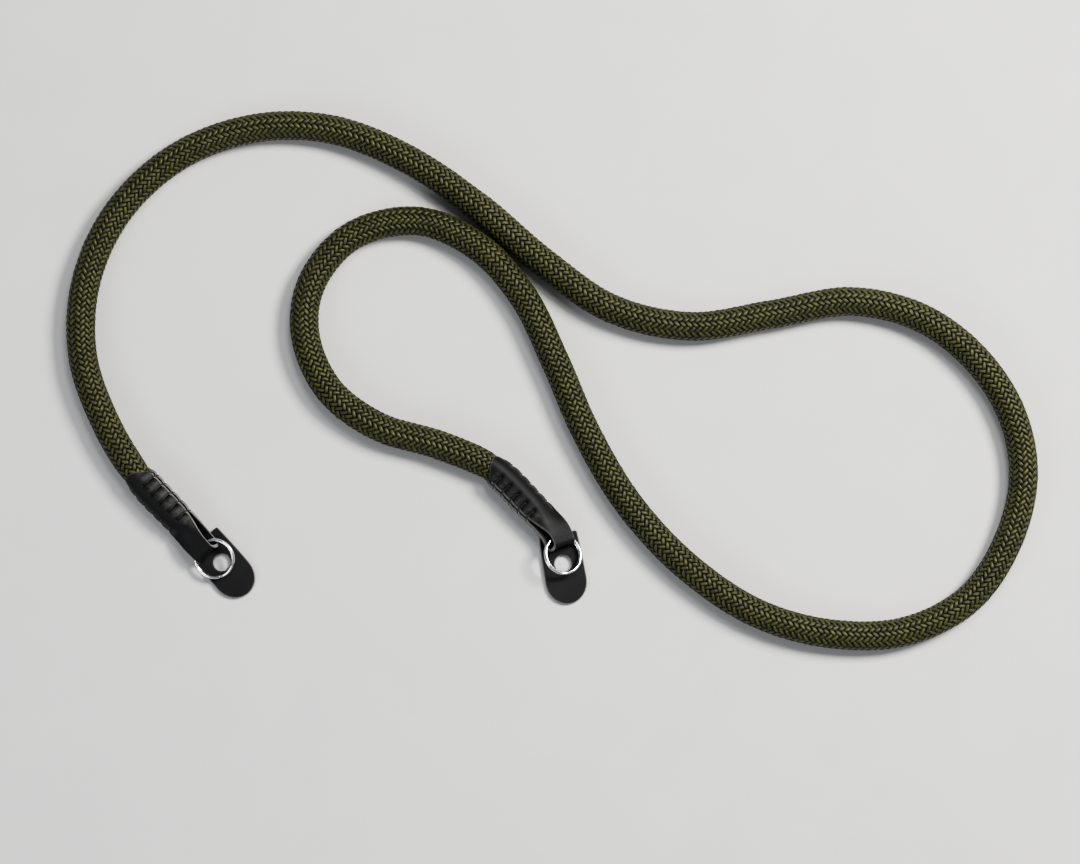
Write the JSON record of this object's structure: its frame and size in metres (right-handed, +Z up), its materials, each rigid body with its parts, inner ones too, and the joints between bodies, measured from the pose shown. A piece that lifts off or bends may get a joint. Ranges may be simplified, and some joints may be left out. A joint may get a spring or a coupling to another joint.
{
  "type": "rope camera strap",
  "caption": "Neck strap of thick braided rope, its ends sewn into folded leather tabs that carry split rings over loose leather guards, lying in open curves.",
  "frame": {"origin": "on the surface that the strap lies on, at the middle of the box round the leather ends with their rings and guards", "axes": "+X from the left leather end to the right one, +Y from the leather ends towards the rope's far arc, +Z up"},
  "size_m": [0.4061, 0.2267, 0.012],
  "materials": {
    "rope": "olive braided cord, satin fibres with dark gaps",
    "tab_leather": "smooth black leather with a soft shine and pale thread",
    "guard_leather": "smooth black leather with a raw pale grey edge",
    "ring_metal": "polished chrome"
  },
  "bodies": {
    "root": {"rope": "rope", "left_tab": "tab_leather", "left_ring": "ring_metal", "left_guard": "guard_leather", "right_tab": "tab_leather", "right_ring": "ring_metal", "right_guard": "guard_leather"}
  },
  "joints": []
}
